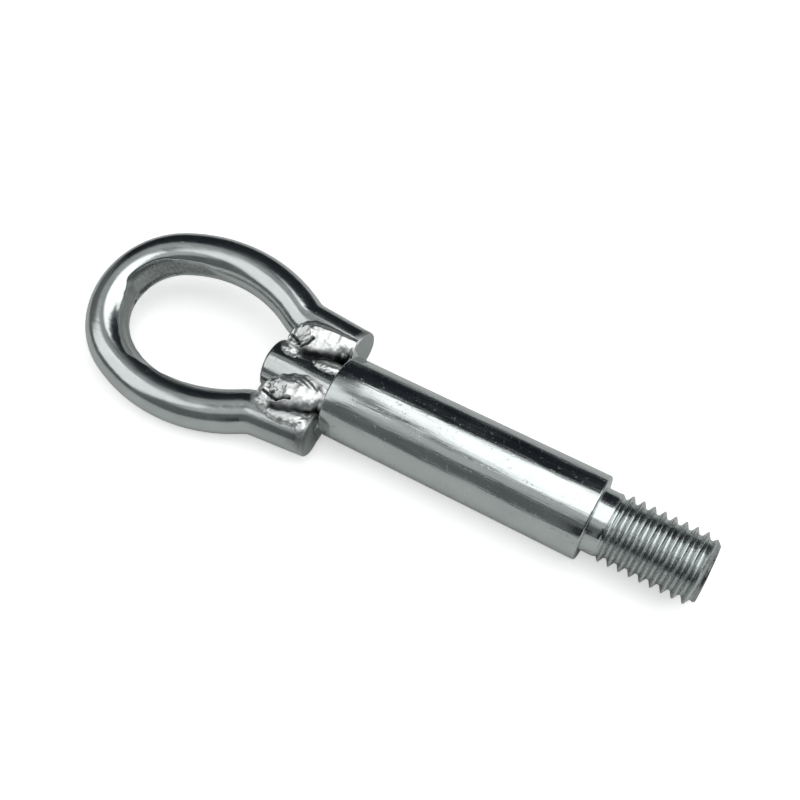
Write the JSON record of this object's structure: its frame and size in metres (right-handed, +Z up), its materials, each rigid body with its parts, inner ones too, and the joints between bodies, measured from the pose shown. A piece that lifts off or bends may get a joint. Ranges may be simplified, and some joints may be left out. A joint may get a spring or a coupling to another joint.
{
  "type": "tow eye",
  "caption": "Screw-in tow eye: a bent rod loop welded beside the nose of a turned steel shank, with a shoulder and a coarse left-hand thread.",
  "frame": {"origin": "on the axis of the shank, at the plane of its shoulder", "axes": "+X along the shank towards the tip of the thread, +Z up as the part lies at rest on its shank and one side of its loop, +Y to the side of the loop that is off the ground"},
  "size_m": [0.1572, 0.047, 0.0196],
  "materials": {
    "turned_bar": "turned steel with a bright zinc plate, faint lengthwise marks",
    "bent_rod": "drawn steel rod with a bright zinc plate, scuffed where it was bent",
    "weld_metal": "rippled weld metal under the same zinc plate, dark in its craters"
  },
  "bodies": {
    "root": {"shank": "turned_bar", "eye_rod": "bent_rod", "weld_upper_left": "weld_metal", "weld_upper_right": "weld_metal", "weld_lower_left": "weld_metal", "weld_lower_right": "weld_metal"}
  },
  "joints": []
}
